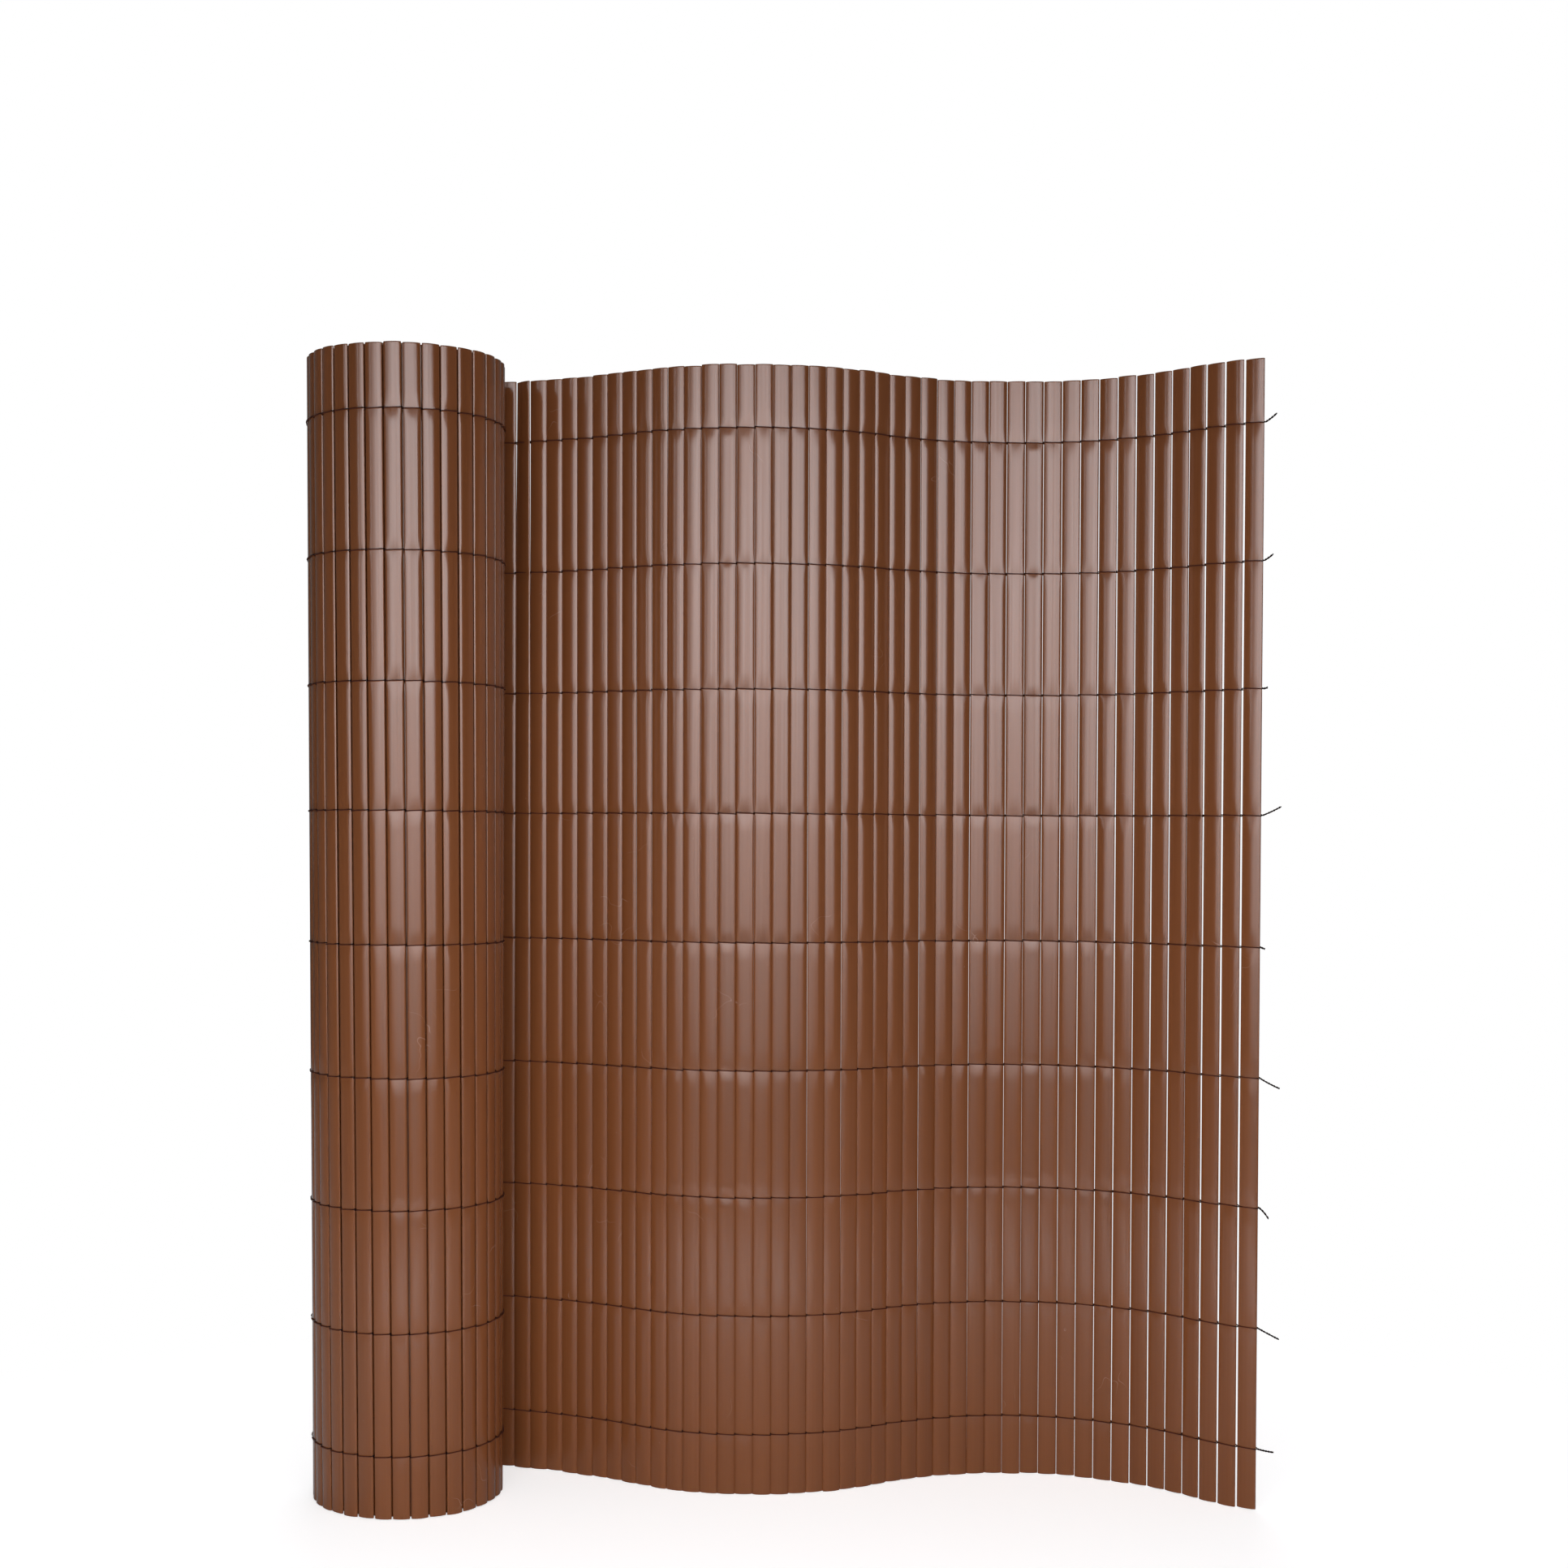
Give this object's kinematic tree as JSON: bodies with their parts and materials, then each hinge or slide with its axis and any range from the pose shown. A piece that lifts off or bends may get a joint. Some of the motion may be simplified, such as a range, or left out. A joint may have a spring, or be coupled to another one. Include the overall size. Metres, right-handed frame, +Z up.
{
  "type": "pvc privacy screen mat",
  "caption": "Brown slatted plastic screen mat standing on end, one part still rolled and the rest opened out in a wave, its upright hollow slats held by rows of tie wire.",
  "frame": {"origin": "middle of the whole object's box, on the floor it stands on", "axes": "+Z up along the slats, +X from the roll to the free edge, +Y away from the viewed face"},
  "size_m": [0.7661, 0.1603, 0.9],
  "materials": {
    "slat_plastic": "satin brown plastic with faint lines along the slats",
    "wire_coating": "dark brown coated wire"
  },
  "bodies": {
    "root": {"slat_01": "slat_plastic", "slat_02": "slat_plastic", "slat_03": "slat_plastic", "slat_04": "slat_plastic", "slat_05": "slat_plastic", "slat_06": "slat_plastic", "slat_07": "slat_plastic", "slat_08": "slat_plastic", "slat_09": "slat_plastic", "slat_10": "slat_plastic", "slat_11": "slat_plastic", "slat_12": "slat_plastic", "slat_13": "slat_plastic", "slat_14": "slat_plastic", "slat_15": "slat_plastic", "slat_16": "slat_plastic", "slat_17": "slat_plastic", "slat_18": "slat_plastic", "slat_19": "slat_plastic", "slat_20": "slat_plastic", "slat_21": "slat_plastic", "slat_22": "slat_plastic", "slat_23": "slat_plastic", "slat_24": "slat_plastic", "slat_25": "slat_plastic", "slat_26": "slat_plastic", "slat_27": "slat_plastic", "slat_28": "slat_plastic", "slat_29": "slat_plastic", "slat_30": "slat_plastic", "slat_31": "slat_plastic", "slat_32": "slat_plastic", "slat_33": "slat_plastic", "slat_34": "slat_plastic", "slat_35": "slat_plastic", "slat_36": "slat_plastic", "slat_37": "slat_plastic", "slat_38": "slat_plastic", "slat_39": "slat_plastic", "slat_40": "slat_plastic", "slat_41": "slat_plastic", "slat_42": "slat_plastic", "slat_43": "slat_plastic", "slat_44": "slat_plastic", "slat_45": "slat_plastic", "slat_46": "slat_plastic", "slat_47": "slat_plastic", "slat_48": "slat_plastic", "slat_49": "slat_plastic", "rolled_turns": "slat_plastic", "tie_wire_1": "wire_coating", "tie_wire_2": "wire_coating", "tie_wire_3": "wire_coating", "tie_wire_4": "wire_coating", "tie_wire_5": "wire_coating", "tie_wire_6": "wire_coating", "tie_wire_7": "wire_coating", "tie_wire_8": "wire_coating", "tie_wire_9": "wire_coating"}
  },
  "joints": []
}
